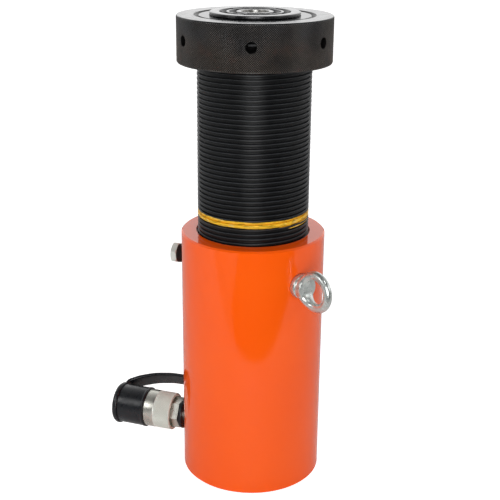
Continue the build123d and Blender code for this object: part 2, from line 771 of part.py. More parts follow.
with BuildPart() as cap_strap:
    with BuildSketch(strap_plane):
        with BuildLine():
            FilletPolyline(*strap_route, radius=strap_bends)
        trace(line_width=strap_thickness)
    extrude(amount=strap_width / 2, both=True)
    for eyelet in ((neck_eyelet_start, neck_eyelet_radius), (cap_eyelet_start, cap_eyelet_radius)):
        with BuildSketch(port_side(eyelet[0] - strap_cut_margin)):
            Circle(eyelet[1] + running_fit)
        extrude(amount=eyelet_thickness + 2 * strap_cut_margin, mode=Mode.SUBTRACT)
cap_strap.part.label = "cap_strap"
export_step(cap_strap.part, "parts/cap_strap.step")

print("plunger slides from", -extension_shown, "to", round(stroke - extension_shown, 3))
print("saddle tilts about height", round(saddle_pivot, 3))
print("cap reaches", round(cap_end, 2), "from the plunger's axis, and the coupler's nose", nose_end)
print("check ball opens by", ball_travel, "from a centre", ball_centre, "from the plunger's axis")
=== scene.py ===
# %% [markdown]
# # A hydraulic ram with a locking collar
#
# This lesson dresses a steel hydraulic ram. Its orange cylinder pushes up a plunger with a thread along
# its whole length. A heavy collar on that thread can be screwed down on the cylinder, so that the load
# stays up when the oil is let out. A small saddle on top tilts under a load that isn't square, an eye
# bolt lifts the ram, and a quick coupler with a dust cap brings the oil in.
#
# The engineering model gives every piece at its real size. The cells below keep the pieces that are
# already right, and make new meshes where the looks need more than plain solids: the thread, the knurls,
# the forged eye and the moulded strap.

# %% Load the model
from math import ceil, cos, floor, hypot, pi, radians, sin, sqrt, tan, tau

import bmesh
import bpy
from mathutils import Matrix, Vector


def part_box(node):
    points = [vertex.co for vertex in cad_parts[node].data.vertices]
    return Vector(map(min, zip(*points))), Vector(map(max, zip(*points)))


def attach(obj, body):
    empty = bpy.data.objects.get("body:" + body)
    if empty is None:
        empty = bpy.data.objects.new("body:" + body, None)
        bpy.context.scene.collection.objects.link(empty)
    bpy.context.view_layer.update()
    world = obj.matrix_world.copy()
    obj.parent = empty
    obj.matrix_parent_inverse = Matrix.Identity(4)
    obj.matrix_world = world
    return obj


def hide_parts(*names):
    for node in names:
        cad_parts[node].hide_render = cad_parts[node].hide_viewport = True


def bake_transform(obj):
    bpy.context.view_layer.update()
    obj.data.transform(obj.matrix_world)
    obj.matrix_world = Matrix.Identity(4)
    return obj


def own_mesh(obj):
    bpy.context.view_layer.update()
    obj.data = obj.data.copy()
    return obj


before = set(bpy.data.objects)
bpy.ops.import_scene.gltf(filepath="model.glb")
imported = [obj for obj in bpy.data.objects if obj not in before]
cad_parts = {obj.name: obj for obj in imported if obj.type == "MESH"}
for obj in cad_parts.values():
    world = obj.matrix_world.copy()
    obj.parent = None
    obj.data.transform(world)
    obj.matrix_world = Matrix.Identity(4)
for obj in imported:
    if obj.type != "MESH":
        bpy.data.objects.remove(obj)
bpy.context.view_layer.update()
MM = 0.001

# %% [markdown]
# ## Sizes that several pieces share
#
# A piece that fits round another has to agree with it to a fraction of a millimetre. So the main sizes
# are read from the model's own boxes, once, and every later cell works from them.

# %% Read the main sizes
plunger_low, plunger_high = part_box("plunger")
collar_low, collar_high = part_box("locking_collar")
saddle_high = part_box("saddle")[1]
plug_low, plug_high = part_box("overflow_plug")
sleeve_low, sleeve_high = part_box("coupler_sleeve")
cap_low, cap_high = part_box("dust_cap")
cap_eyelet_low, cap_eyelet_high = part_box("cap_eyelet")
neck_eyelet_low, neck_eyelet_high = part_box("neck_eyelet")

collar_radius = (collar_high.y - collar_low.y) / 2
# Over the thread's crests; the piston below them is a little wider
plunger_radius = 48.0 * MM
port_height = (sleeve_high.z + sleeve_low.z) / 2
print(f"collar radius {collar_radius / MM:.1f} mm, port height {port_height / MM:.1f} mm")

# %% [markdown]
# ## The camera
#
# The photograph was taken with a long lens from a little above. Its place was found by fitting the
# circles of the collar, the thread and the cylinder, whose real sizes are known. It is given here the way
# a photographer thinks of it: how far away, how high, how far round, and how much it looks down. The lens
# follows from the fitted focal length, a share of the picture's width.

# %% Place the camera
camera_turn = radians(18.5)
camera_distance = 0.84335
camera_height = 0.5056
look_down = radians(19.435)
look_aside = radians(0.166)
camera_roll = radians(0.51)
focal_share = 1015.67 / 500
SENSOR = 36.0
TO_CAMERA = Vector((sin(camera_turn), -cos(camera_turn), 0))
TO_RIGHT = Vector((cos(camera_turn), sin(camera_turn), 0))

camera_data = bpy.data.cameras.new("camera")
camera_data.sensor_width = SENSOR
camera_data.lens = focal_share * SENSOR
camera_data.clip_start = 0.02
camera = bpy.data.objects.new("camera", camera_data)
camera.matrix_world = (
    Matrix.Translation(TO_CAMERA * camera_distance + Vector((0, 0, camera_height)))
    @ Matrix.Rotation(camera_turn + look_aside, 4, "Z")
    @ Matrix.Rotation(pi / 2 - look_down, 4, "X")
    @ Matrix.Rotation(camera_roll, 4, "Z")
)
bpy.context.scene.collection.objects.link(camera)
bpy.context.scene.camera = camera
bpy.context.scene.view_settings.view_transform = "Standard"
print(f"lens {camera_data.lens:.1f} mm")

# %% [markdown]
# ## Helpers for meshes
#
# Nearly everything here was turned on a lathe, so most pieces are a profile spun about an axis. A profile
# holds only the corners that a drawing gives, each with the radius that breaks its edge: no real edge is
# perfectly sharp, and the thin line of light along it is what makes metal look like metal.


# %% Round the corners of a profile
def rounded(corners, closed=False, steps=3):
    """Turns (radius, height, edge) corners in millimetres into (radius, height) points in metres."""
    points = []
    count = len(corners)
    for i, (radius, height, edge) in enumerate(corners):
        here = Vector((radius, height))
        if not edge or (not closed and i in (0, count - 1)):
            points.append(here * MM)
            continue
        before = Vector(corners[i - 1][:2]) - here
        after = Vector(corners[(i + 1) % count][:2]) - here
        half = before.angle(after) / 2
        reach = min(edge / tan(half), before.length * 0.49, after.length * 0.49)
        start = here + before.normalized() * reach
        end = here + after.normalized() * reach
        for step in range(steps + 1):
            t = step / steps
            curve = start.lerp(here, t).lerp(here.lerp(end, t), t)
            points.append(curve * MM)
    return points


# %% Link a mesh as a piece
def as_piece(name, built, sharp=32):
    """Makes an object of a bmesh, shaded smooth except along edges sharper than an angle in degrees."""
    bmesh.ops.remove_doubles(built, verts=built.verts, dist=1e-7)
    bmesh.ops.recalc_face_normals(built, faces=built.faces)
    mesh = bpy.data.meshes.new(name)
    built.to_mesh(mesh)
    built.free()
    mesh.shade_smooth()
    mesh.set_sharp_from_angle(angle=radians(sharp))
    piece = bpy.data.objects.new(name, mesh)
    bpy.context.scene.collection.objects.link(piece)
    return piece


def ring(built, radius, height, segments):
    """A loop of vertices about Z, or a single vertex on the axis."""
    if radius < 1e-7:
        return [built.verts.new((0, 0, height))]
    return [
        built.verts.new((radius * cos(tau * i / segments), radius * sin(tau * i / segments), height))
        for i in range(segments)
    ]


def bridge(built, lower, upper):
    """Faces between two loops of equal length, or between a loop and a single vertex."""
    count = max(len(lower), len(upper))
    for i in range(count):
        j = (i + 1) % count
        corners = []
        for loop, place in ((lower, i), (lower, j), (upper, j), (upper, i)):
            vertex = loop[place % len(loop)]
            if vertex not in corners:
                corners.append(vertex)
        built.faces.new(corners)


def add_rings(built, profile, segments, first=None):
    """Rings for a list of (radius, height) points, each bridged to the one before."""
    last = first
    loops = []
    for radius, height in profile:
        loop = ring(built, radius, height, segments)
        if last is not None:
            bridge(built, last, loop)
        loops.append(loop)
        last = loop
    return loops


def turned(name, profile, segments=160, place=None, closed=False, sharp=32):
    """A piece turned from a profile about Z, then placed by a matrix."""
    built = bmesh.new()
    loops = add_rings(built, profile, segments)
    if closed:
        bridge(built, loops[-1], loops[0])
    if place is not None:
        bmesh.ops.transform(built, matrix=place, verts=built.verts)
    return as_piece(name, built, sharp)


def swept(name, sections, closed=False, sharp=32):
    """A skin over a row of sections, each a list of points, with capped ends or closed to a loop."""
    built = bmesh.new()
    loops = [[built.verts.new(point) for point in section] for section in sections]
    for lower, upper in zip(loops, loops[1:]):
        bridge(built, lower, upper)
    if closed:
        bridge(built, loops[-1], loops[0])
    else:
        built.faces.new(loops[0])
        built.faces.new(loops[-1])
    return as_piece(name, built, sharp)


# %% Cut and blend pieces
def settled(piece, sharp=None):
    """Applies the piece's modifiers to its mesh."""
    graph = bpy.context.evaluated_depsgraph_get()
    mesh = bpy.data.meshes.new_from_object(piece.evaluated_get(graph))
    piece.modifiers.clear()
    piece.data = mesh
    if sharp is not None:
        mesh.shade_smooth()
        mesh.set_sharp_from_angle(angle=radians(sharp))
    return piece


def combined(piece, others, operation, sharp=32):
    """Cuts other pieces from a piece, or keeps what they share, and deletes the others."""
    for other in others:
        modifier = piece.modifiers.new("shape", "BOOLEAN")
        modifier.operation = operation
        modifier.solver = "EXACT"
        modifier.object = other
    settled(piece, sharp)
    for other in others:
        bpy.data.objects.remove(other)
    return piece


def moulded(piece, voxel):
    """Gives overlapping solids one common skin, as forging or moulding does, and softens it."""
    remesh = piece.modifiers.new("skin", "REMESH")
    remesh.mode = "VOXEL"
    remesh.voxel_size = voxel
    smooth = piece.modifiers.new("soften", "SMOOTH")
    smooth.factor = 0.5
    smooth.iterations = 10
    settled(piece)
    piece.data.shade_smooth()
    return piece


def joined(name, parts):
    """Several pieces as the loose parts of one."""
    built = bmesh.new()
    for part in parts:
        built.from_mesh(part.data)
        bpy.data.objects.remove(part)
    return as_piece(name, built)


def port_frame(height):
    """The frame of a port in the cylinder's side, whose own Z runs out of it along -X."""
    return Matrix.Translation((0, 0, height)) @ Matrix.Rotation(-pi / 2, 4, "Y")


PORT_FRAME = port_frame(port_height)
print("helpers ready")

# %% [markdown]
# ## Helpers for materials
#
# A material is a small network of nodes, and one function adds any of them: it takes the kind of node,
# the values or links of its inputs, and its settings. Colours are hex values, as read off a paint card,
# and are turned to the linear light that the renderer needs.


# %% Colours and nodes
def colour(code):
    """A hex colour as linear red, green, blue and alpha."""
    channels = [int(code[i : i + 2], 16) / 255 for i in (0, 2, 4)]
    linear = [c / 12.92 if c <= 0.04045 else ((c + 0.055) / 1.055) ** 2.4 for c in channels]
    return (*linear, 1.0)


def add(tree, kind, inputs=None, **settings):
    """Adds a shader node. Each input is a value, or an output of another node, which is linked."""
    node = tree.nodes.new("ShaderNode" + kind)
    for key, value in settings.items():
        setattr(node, key, value)
    for socket, value in (inputs or {}).items():
        if isinstance(value, bpy.types.NodeSocket):
            tree.links.new(value, node.inputs[socket])
        else:
            node.inputs[socket].default_value = value
    return node


def new_material(name, **surface):
    """A material with one shader; surface gives the shader's inputs by name, with _ for a space."""
    material = bpy.data.materials.new(name)
    material.use_nodes = True
    tree = material.node_tree
    tree.nodes.clear()
    shader = add(tree, "BsdfPrincipled")
    for key, value in surface.items():
        shader.inputs[key.replace("_", " ")].default_value = value
    output = add(tree, "OutputMaterial")
    tree.links.new(shader.outputs["BSDF"], output.inputs["Surface"])
    return material, tree, shader


def link(tree, value, shader, socket):
    """Drives one of the shader's inputs from a node's output."""
    tree.links.new(value, shader.inputs[socket])


def places(tree, scale=(1, 1, 1)):
    """The point on the piece, in metres, stretched by a scale along each axis."""
    point = add(tree, "TexCoord").outputs["Object"]
    return add(tree, "Mapping", {"Vector": point, "Scale": scale}).outputs["Vector"]


def grains(tree, size, detail=3.0, scale=(1, 1, 1)):
    """Soft noise whose blotches are about as large as a size in metres."""
    inputs = {"Vector": places(tree, scale), "Scale": 1 / size, "Detail": detail}
    return add(tree, "TexNoise", inputs).outputs["Fac"]


def spread(tree, value, low, high, start=0.35, end=0.65, curve="LINEAR"):
    """Maps a value, such as noise, that runs from start to end to the range from low to high."""
    inputs = {"Value": value, "From Min": start, "From Max": end, "To Min": low, "To Max": high}
    return add(tree, "MapRange", inputs, interpolation_type=curve).outputs["Result"]


def mix(tree, share, first, second):
    """Mixes two colours, each a hex code or a node's output."""
    sides = {6: first, 7: second}
    inputs = {k: colour(v) if isinstance(v, str) else v for k, v in sides.items()}
    return add(tree, "Mix", {0: share, **inputs}, data_type="RGBA").outputs[2]


def bumps(tree, shader, height, depth):
    """Bends the shader's normals as if the surface stood up by a depth in metres."""
    inputs = {"Height": height, "Distance": depth, "Strength": 1.0}
    link(tree, add(tree, "Bump", inputs).outputs["Normal"], shader, "Normal")


def calc(tree, operation, first, second=0.0):
    """One sum on two values."""
    return add(tree, "Math", {0: first, 1: second}, operation=operation).outputs[0]


def share_along(tree, point, way):
    """How far a point or a direction reaches along a way."""
    return add(tree, "VectorMath", {0: point, 1: way}, operation="DOT_PRODUCT").outputs["Value"]


def axis_distance(tree, first, second):
    """How far a point is from an axis, from its two places across it."""
    squares = [calc(tree, "POWER", place, 2.0) for place in (first, second)]
    return calc(tree, "SQRT", calc(tree, "ADD", *squares))


def mottled(name, first, second, mottle, roughness, haze, less, more, detail=4.0, **surface):
    """A finish whose colour drifts between two shades, and its roughness about a middle value."""
    material, tree, shader = new_material(name, **surface)
    share = spread(tree, grains(tree, mottle, detail), 0.0, 1.0)
    link(tree, mix(tree, share, first, second), shader, "Base Color")
    drift = spread(tree, grains(tree, haze), roughness - less, roughness + more)
    link(tree, drift, shader, "Roughness")
    return material, tree, shader


# %% Put finishes and pieces in place
def coat(piece, *finishes):
    """Gives a piece its finishes, of which the first covers all of it."""
    piece.data.materials.clear()
    for finish in finishes:
        piece.data.materials.append(finish)


def recoat(piece, index, chosen):
    """Gives another of the finishes to the faces whose middle and normal are chosen."""
    for face in piece.data.polygons:
        if chosen(face.center, face.normal):
            face.material_index = index


def mount(piece, body, node, slot, *finishes):
    """Coats a piece and puts it on a body in place of the model's node; its slot is not used."""
    coat(piece, *finishes)
    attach(piece, body)
    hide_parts(node)
    print(f"{piece.name}: {len(piece.data.polygons)} faces")


print("material helpers ready")

# %% [markdown]
# ## Orange gloss enamel
#
# The cylinder is painted with a gloss alkyd enamel, sprayed over turned steel and stoved. Such a paint is
# a clear resin full of pigment: its colour comes from inside and doesn't depend on the angle, while its
# smooth skin mirrors the room, weakly from the front and strongly at a glancing angle. So the material is
# a plain colour under a glossy dielectric skin with a resin's index, close to 1.5. A sprayed skin is
# never quite flat: its ripples, called orange peel, are 2 to 4 mm across and a few micrometres deep.


# %% Orange enamel
def orange_enamel():
    """Gloss enamel over steel."""
    material, tree, shader = new_material("orange_gloss_enamel", Roughness=0.1, IOR=1.48)
    cloud = spread(tree, grains(tree, 0.06), 0.0, 1.0)
    link(tree, mix(tree, cloud, "FE5B08", "FF5E0A"), shader, "Base Color")
    peel = grains(tree, 0.004, detail=1.0)
    bumps(tree, shader, peel, 0.000006)
    return material


ENAMEL = orange_enamel()

# %% [markdown]
# ## Blackened steel
#
# The plunger, the collar and the saddle are steel with a black oxide finish: boiled in salts until a skin
# of magnetite about a micrometre thick has grown, and then oiled. Magnetite has a high index, so it
# mirrors more than paint does and goes almost white at a glancing angle. Oil and wear change that: the
# thread is dull, the collar's knurl shows brown and blue steel, and the flat faces on top are smooth, so
# the low camera sees the white wall in them.


# %% Black oxide
def worn_oxide():
    """Black oxide on a knurl: bluish near the top, brown below where hands and bars have worn it, and
    painted shade in the valleys.
    """
    material, tree, shader = new_material("worn_black_oxide", IOR=1.42)
    parts = add(tree, "SeparateXYZ", {"Vector": places(tree)}).outputs
    wander = spread(tree, grains(tree, 0.03), -0.012, 0.012, 0.3, 0.7)
    level = calc(tree, "ADD", parts["Z"], wander)
    upper = spread(tree, level, 0.0, 1.0, collar_low.z + 0.012, collar_high.z - 0.006)
    patches = spread(tree, grains(tree, 0.025, detail=5.0), 0.0, 1.0, 0.41, 0.6)
    brown = mix(tree, patches, "1D1A18", "423931")
    blue = mix(tree, patches, "191C20", "353A40")
    base = mix(tree, upper, brown, blue)
    rust = spread(tree, grains(tree, 0.011, detail=6.0), 0.0, 0.6, 0.56, 0.72)
    rust = calc(tree, "MULTIPLY", rust, calc(tree, "SUBTRACT", 1.0, upper))
    base = mix(tree, rust, base, "5E3C31")
    reach = axis_distance(tree, parts["X"], parts["Y"])
    peak = spread(tree, reach, 0.0, 1.0, collar_radius - 0.4 * MM, collar_radius - 0.15 * MM)
    # Painted shade: the knurl's valleys are darkened towards near black
    valleys = mix(tree, peak, "0E0D0D", base)
    worn = spread(tree, reach, 0.0, 0.85, collar_radius - 0.28 * MM, collar_radius)
    worn = calc(tree, "MULTIPLY", worn, spread(tree, grains(tree, 0.02), 0.5, 1.0))
    link(tree, mix(tree, worn, valleys, "857C73"), shader, "Base Color")
    link(tree, spread(tree, grains(tree, 0.01), 0.28, 0.4), shader, "Roughness")
    return material


def faced_steel(name, dark, light, roughness):
    """A flat turned face, oxidised and oiled: dark from above, a mirror at a glancing angle."""
    return mottled(name, dark, light, 0.015, roughness, 0.006, 0.03, 0.04, IOR=1.75)[0]


OXIDE = mottled("black_oxide_steel", "17181A", "1E1F21", 0.02, 0.24, 0.02 / 3, 0.06, 0.06, IOR=1.6)[0]
COLLAR_OXIDE = worn_oxide()
FACED = faced_steel("faced_oxide_steel", "303134", "3C3D40", 0.16)
POLISHED = faced_steel("polished_oxide_steel", "1D1E22", "28292E", 0.09)

# %% [markdown]
# ## Bright plated steel
#
# The eye bolt and the plug are zinc plated and the coupler is nickel plated. A metal's colour is the
# colour of its mirror image, so metallic starts at 1 and the base colour is a light grey, cool for zinc
# and warm for nickel. Fresh zinc is a skin of small crystals that scatters part of the light like paint,
# so metallic is lower there, and lowest on the plug, whose zinc has gone dull. The soft look comes from
# roughness: plating fills fine tool marks but keeps a grain that blurs the image.
#
# A knurl's facets are smaller than a pixel, and each mirrors another part of the white room, so together
# they look matt and nearly white. That is why the knurled nickel is hardly metallic.


# %% Plated steel
def plated(name, light, shade, roughness, metallic=1.0):
    """Plating over a fine-grained surface."""
    grained = mottled(name, light, shade, 0.008, roughness, 0.005, 0.05, 0.07, Metallic=metallic)
    material, tree, shader = grained
    bumps(tree, shader, grains(tree, 0.0008, detail=2.0), 0.000006)
    return material


ZINC = plated("zinc_plated_steel", "DADFDC", "BDC3C0", 0.27, metallic=0.8)
DULL_ZINC = plated("dull_zinc_plated_steel", "DAE4DE", "C8D2CC", 0.42, metallic=0.3)
NICKEL = plated("nickel_plated_steel", "DEDDD4", "CECDC4", 0.3)


def knurled_nickel():
    """Nickel on a knurl: near white as a painted reflection of the white room, with painted shade in the
    valleys.
    """
    material, tree, shader = new_material("nickel_plated_knurl", Metallic=0.1)
    parts = add(tree, "SeparateXYZ", {"Vector": places(tree)}).outputs
    reach = axis_distance(tree, parts["Y"], calc(tree, "SUBTRACT", parts["Z"], port_height))
    radius = (sleeve_high.z - sleeve_low.z) / 2
    # Painted shade in the knurl's valleys, and near-white peaks as a painted reflection of the white room
    peak = spread(tree, reach, 0.0, 1.0, radius - 0.3 * MM, radius - 0.02 * MM)
    link(tree, mix(tree, peak, "C4CCC2", "F8FCF8"), shader, "Base Color")
    link(tree, spread(tree, grains(tree, 0.005), 0.36, 0.48), shader, "Roughness")
    return material


KNURL_NICKEL = knurled_nickel()
BARE = plated("bare_turned_steel", "B4B3B0", "9D9C99", 0.3)

# %% [markdown]
# ## Rubber, plastic and the rest
#
# The dust cap and its strap are moulded in black PVC with a satin skin, and the plug's exposed pipe
# thread is coloured near black. The rings inside are nitrile, polyurethane and a bronze-filled plastic.
# They show only when the ram is taken apart, but each has its own finish.


# %% Rubber and plastic
def soft_plastic(name, dark, light, roughness):
    """Moulded plastic or rubber with a faint mottle."""
    skin = mottled(name, dark, light, 0.006, roughness, 0.004, 0.05, 0.07, detail=3.0, IOR=1.5)
    material, tree, shader = skin
    bumps(tree, shader, grains(tree, 0.0006, detail=2.0), 0.000008)
    return material


# The black is tinted a little blue: a painted reflection of a lamp's bluish sheen
PVC = soft_plastic("black_pvc", "0D1014", "13171D", 0.31)
BLACK_PLUG_THREAD = soft_plastic("black_plug_thread", "0B0B0C", "101011", 0.5)
NITRILE = soft_plastic("nitrile_rubber", "0E0E0F", "151516", 0.5)
POLYURETHANE = soft_plastic("amber_polyurethane", "A98A35", "B7973F", 0.4)
FILLED_PTFE = soft_plastic("bronze_filled_ptfe", "6E4A2A", "7A5432", 0.45)
SPRING_STEEL = plated("spring_steel", "A8A8A6", "8F8F8D", 0.25)
print("materials:", len(bpy.data.materials))

# %% [markdown]
# ## Winding a thread
#
# The plunger carries a trapezoidal thread of 4 mm pitch along its whole stem. A bump pattern would leave
# its outline smooth and set the light wrong in its grooves, so it is real geometry. The trick is to let
# the rows of the mesh climb with the thread: each upright column of vertices starts a little higher than
# the one before, so that after one turn a column meets the next groove of the first. Rows that would
# leave the threaded stretch are held at its ends, where the cut runs out.
#
# The same function winds every thread of the ram. A form lists places along one pitch and how far the
# thread stands up there, from 0 in the groove to 1 on the crest.

# %% Wind a thread
TRAPEZOID = [
    (0.0, 0.0),
    (0.22, 0.0),
    (0.34, 0.82),
    (0.355, 0.92),
    (0.38, 0.98),
    (0.42, 1.0),
    (0.8, 1.0),
    (0.84, 0.98),
    (0.865, 0.92),
    (0.88, 0.82),
]
PIPE_FORM = [(0.0, 0.0), (0.08, 0.0), (0.5, 0.94), (0.56, 1.0), (0.64, 0.94)]


def standing(form, place):
    """How far a thread of this form stands up at a place along its pitch."""
    place %= 1.0
    points = [*form, (1.0, form[0][1])]
    for (start, low), (end, high) in zip(points, points[1:]):
        if start <= place <= end:
            return low + (high - low) * (place - start) / (end - start)
    return 0.0


def wound(built, form, pitch, start, bottom, top, segments, shape):
    """Winds a thread; shape(height, stand) gives its radius. Returns the loops at its ends."""
    points = len(form)
    first = floor((bottom - start) / pitch) - 1
    turns = ceil((top - bottom) / pitch) + 3
    columns = []
    for i in range(segments):
        column = []
        for k in range(points * (turns + 1)):
            turn, j = divmod(k, points)
            level = start + (first + turn + form[j][0] + i / segments) * pitch
            height = min(max(level, bottom), top)
            radius = shape(height, standing(form, (height - start) / pitch - i / segments))
            angle = tau * i / segments
            column.append(built.verts.new((radius * cos(angle), radius * sin(angle), height)))
        columns.append(column)
    for i, here in enumerate(columns):
        there = columns[(i + 1) % segments]
        shift = points if i == segments - 1 else 0
        for k in range(len(here) - 1 - shift):
            built.faces.new((here[k], there[k + shift], there[k + shift + 1], here[k + 1]))
    return [column[0] for column in columns], [column[-1] for column in columns]


# %% [markdown]
# ## The plunger
#
# Below the thread are the piston's lands and grooves, which hold the seal and the guide ring and stay
# hidden until the ram is taken apart. Above it are a chamfered end face with a spherical seat, where the
# saddle tilts, and a moat that gives the saddle's rim room to dip.
#
# The lower profile and the seat are turned, the thread is wound between them, and all three share one
# mesh. At both ends of the thread a cone limits its radius, as the chamfering tool does.

# %% Make the threaded plunger
PITCH = 4.0 * MM
THREAD_DEPTH = 2.0 * MM
THREAD_SEGMENTS = 240
THREAD_START = 51.8
RELIEF_RADIUS = 45.4
BALL_RADIUS = 42.0
RIM_REACH = 30.0
RIM_THICKNESS = 2.5
SCREW_BORE = 7.2
MOAT_DEPTH = 6.6
MOAT_PLAY = 0.6
SEAT_PLAY = 0.05
SCREW_HOLE = 3.02
SCREW_DEPTH = 27.5
groove_turn = plunger_low.z + THREAD_START * MM
thread_top = plunger_high.z
end_chamfer = 2.0 * MM
foot = plunger_low.z / MM

# Each corner's radius, height above the plunger's foot, and edge
CORNERS = [
    (0, 0, 0),
    (44, 0, 3),
    (44, 20, 0),
    (48.2, 20, 0.3),
    (48.2, 23, 0.3),
    (42.2, 23, 0.3),
    (42.2, 32.8, 0.3),
    (48.2, 32.8, 0.3),
    (48.2, 35.8, 0.3),
    (45.7, 35.8, 0.3),
    (45.7, 46, 0.3),
    (48.2, 46, 0.3),
    (48.2, 48.8, 0.3),
    (RELIEF_RADIUS, 48.8, 0.3),
    (RELIEF_RADIUS, THREAD_START, 0),
]
PISTON = [(radius, foot + height, edge) for radius, height, edge in CORNERS]


def arc(sphere, centre, start, end, steps):
    """Corners along the underside of a sphere on the axis, between two distances from the axis."""
    radii = [start + (end - start) * i / steps for i in range(steps + 1)]
    return [(radius, centre - sqrt(sphere**2 - radius**2), 0) for radius in radii]


rim_height = saddle_high.z / MM - RIM_THICKNESS
pivot = rim_height + sqrt(BALL_RADIUS**2 - RIM_REACH**2)
end_face = plunger_high.z / MM
sweep = hypot(saddle_high.x / MM, pivot - rim_height) + MOAT_PLAY
moat_floor = end_face - MOAT_DEPTH
moat_out, moat_in = (sqrt(sweep**2 - (pivot - height) ** 2) for height in (end_face, moat_floor))
SEAT = [
    *arc(sweep, pivot, moat_out, moat_in, 6),
    (moat_in - 1.6, moat_floor, 0),
    *arc(BALL_RADIUS + SEAT_PLAY, pivot, 26.8, SCREW_HOLE, 12),
    (SCREW_HOLE, end_face - SCREW_DEPTH, 0),
    (0, end_face - SCREW_DEPTH, 0),
]


def plunger_shape(height, stand):
    """Radius of the thread, trimmed by the cone of each end."""
    thread = plunger_radius - THREAD_DEPTH * (1 - stand)
    foot_cone = RELIEF_RADIUS * MM + (height - groove_turn)
    end_cone = plunger_radius - end_chamfer + (thread_top - height)
    return min(thread, foot_cone, end_cone)


built = bmesh.new()
piston = add_rings(built, rounded(PISTON), THREAD_SEGMENTS)
ends = (groove_turn, thread_top)
lower, upper = wound(built, TRAPEZOID, PITCH, groove_turn, *ends, THREAD_SEGMENTS, plunger_shape)
bridge(built, piston[-1], lower)
add_rings(built, rounded(SEAT), THREAD_SEGMENTS, first=upper)
threaded_plunger = as_piece("threaded_plunger", built, sharp=40)
print("threaded plunger:", round((thread_top - groove_turn) / PITCH, 1), "turns")

# %% [markdown]
# ## The painted ring on the thread
#
# Two turns of the thread just above the cylinder are painted yellow, a mark that tells the user how much
# of the plunger is still in the cylinder. It was brushed on the turning thread, so it lies at one height,
# its edges wander by a few tenths of a millimetre, and the paint is thinner in places.
#
# The plunger's material mixes several finishes, and masks worked out from the place on the piece decide
# between them, so they travel with the plunger. Height plus a little noise gives the ring. Height less
# the share of a turn, modulo the pitch, gives the place along the thread's form, and the upper edge of
# each crest is drawn lighter there: partly wear where the collar rubs, and partly a painted highlight
# where the light from above catches the edge.

# %% Finish the plunger
RING_MIDDLE = 245.6 * MM
RING_HALF = 3.0 * MM
SMEAR_DROP = 2.2 * MM
SMEAR_HALF = 0.7 * MM
SMEAR_TURN = radians(-13.0)


def along_pitch(tree, point):
    """The place along one pitch of the thread, from 0 to 1."""
    parts = add(tree, "SeparateXYZ", {"Vector": point}).outputs
    share = calc(tree, "DIVIDE", calc(tree, "ARCTAN2", parts["Y"], parts["X"]), tau)
    turns = calc(tree, "DIVIDE", calc(tree, "SUBTRACT", parts["Z"], groove_turn), PITCH)
    return calc(tree, "FRACT", calc(tree, "SUBTRACT", turns, share))


def stripe(tree, value, middle, half, soft):
    """1 within a distance of a middle value and 0 beyond it, with a soft edge."""
    aside = calc(tree, "ABSOLUTE", calc(tree, "SUBTRACT", value, middle))
    return spread(tree, aside, 1.0, 0.0, half - soft, half + soft)


def thread_finish():
    """Oiled black oxide with crest edges lightened, partly for wear and partly as a painted highlight, a
    painted ring with a smear below it, and a smooth end.
    """
    material, tree, shader = new_material("black_oxide_thread", IOR=1.3)
    point = places(tree)
    height = add(tree, "SeparateXYZ", {"Vector": point}).outputs["Z"]
    cloud = spread(tree, grains(tree, 0.02, detail=4.0), 0.0, 1.0)
    oxide = mix(tree, cloud, "0F1011", "131415")
    # Upper crest edges drawn lighter: partly wear, partly a painted highlight where the light from above
    # catches them
    wear_and_highlight = stripe(tree, along_pitch(tree, point), 0.86, 0.06, 0.03)
    wear_and_highlight = calc(tree, "MULTIPLY", wear_and_highlight, spread(tree, grains(tree, 0.012, detail=4.0), 0.6, 1.0))
    oxide = mix(tree, wear_and_highlight, oxide, "424447")

    wander = spread(tree, grains(tree, 0.012), -0.00025, 0.00025, 0.3, 0.7)
    level = calc(tree, "ADD", height, wander)
    ring_paint = stripe(tree, level, RING_MIDDLE, RING_HALF, 0.00015)
    side = share_along(tree, point, (cos(SMEAR_TURN), sin(SMEAR_TURN), 0))
    smear = stripe(tree, level, RING_MIDDLE - RING_HALF - SMEAR_DROP, SMEAR_HALF, 0.0002)
    smear = calc(tree, "MULTIPLY", smear, spread(tree, side, 0.0, 1.0, 0.0448, 0.0462))
    painted = calc(tree, "MAXIMUM", ring_paint, smear)
    streaks = spread(tree, grains(tree, 0.006, detail=4.0, scale=(1, 1, 6)), 0.0, 0.85, 0.47, 0.64)
    pale = spread(tree, grains(tree, 0.008, scale=(1, 1, 3)), 0.0, 0.5, 0.55, 0.7)
    paint = mix(tree, streaks, "F3BE2C", "A5851A")
    paint = mix(tree, pale, paint, "F5DE9A")
    base = mix(tree, painted, oxide, paint)
    end = spread(tree, height, 0.0, 1.0, thread_top - 0.0002, thread_top - 0.0001)
    link(tree, mix(tree, end, base, "303134"), shader, "Base Color")
    haze = spread(tree, grains(tree, 0.006), 0.3, 0.4)
    smooth = calc(tree, "MULTIPLY", haze, calc(tree, "SUBTRACT", 1.0, end))
    link(tree, calc(tree, "MAXIMUM", smooth, 0.07), shader, "Roughness")
    return material


mount(threaded_plunger, "plunger", "plunger", "black_oxide_thread", thread_finish())

# %% [markdown]
# ## Winding a knurl
#
# The collar and the coupler's sleeve are knurled, so that an oily hand can turn them. A diamond knurl is
# rolled by two toothed wheels whose furrows cross and leave rows of little pyramids. Their flat faces
# each catch the light in turn, which a bump pattern doesn't do, so these are real pyramids too. A grid
# whose points are alternately peaks and valleys has them already, if each cell is split along its two
# valleys.
#
# The real pyramids stand about 1.2 mm apart on the collar and 1 mm apart on the sleeve, little more than
# a pixel. They are drawn coarser here, 1.8 and 1.7 mm apart, so that they still show as a pattern.


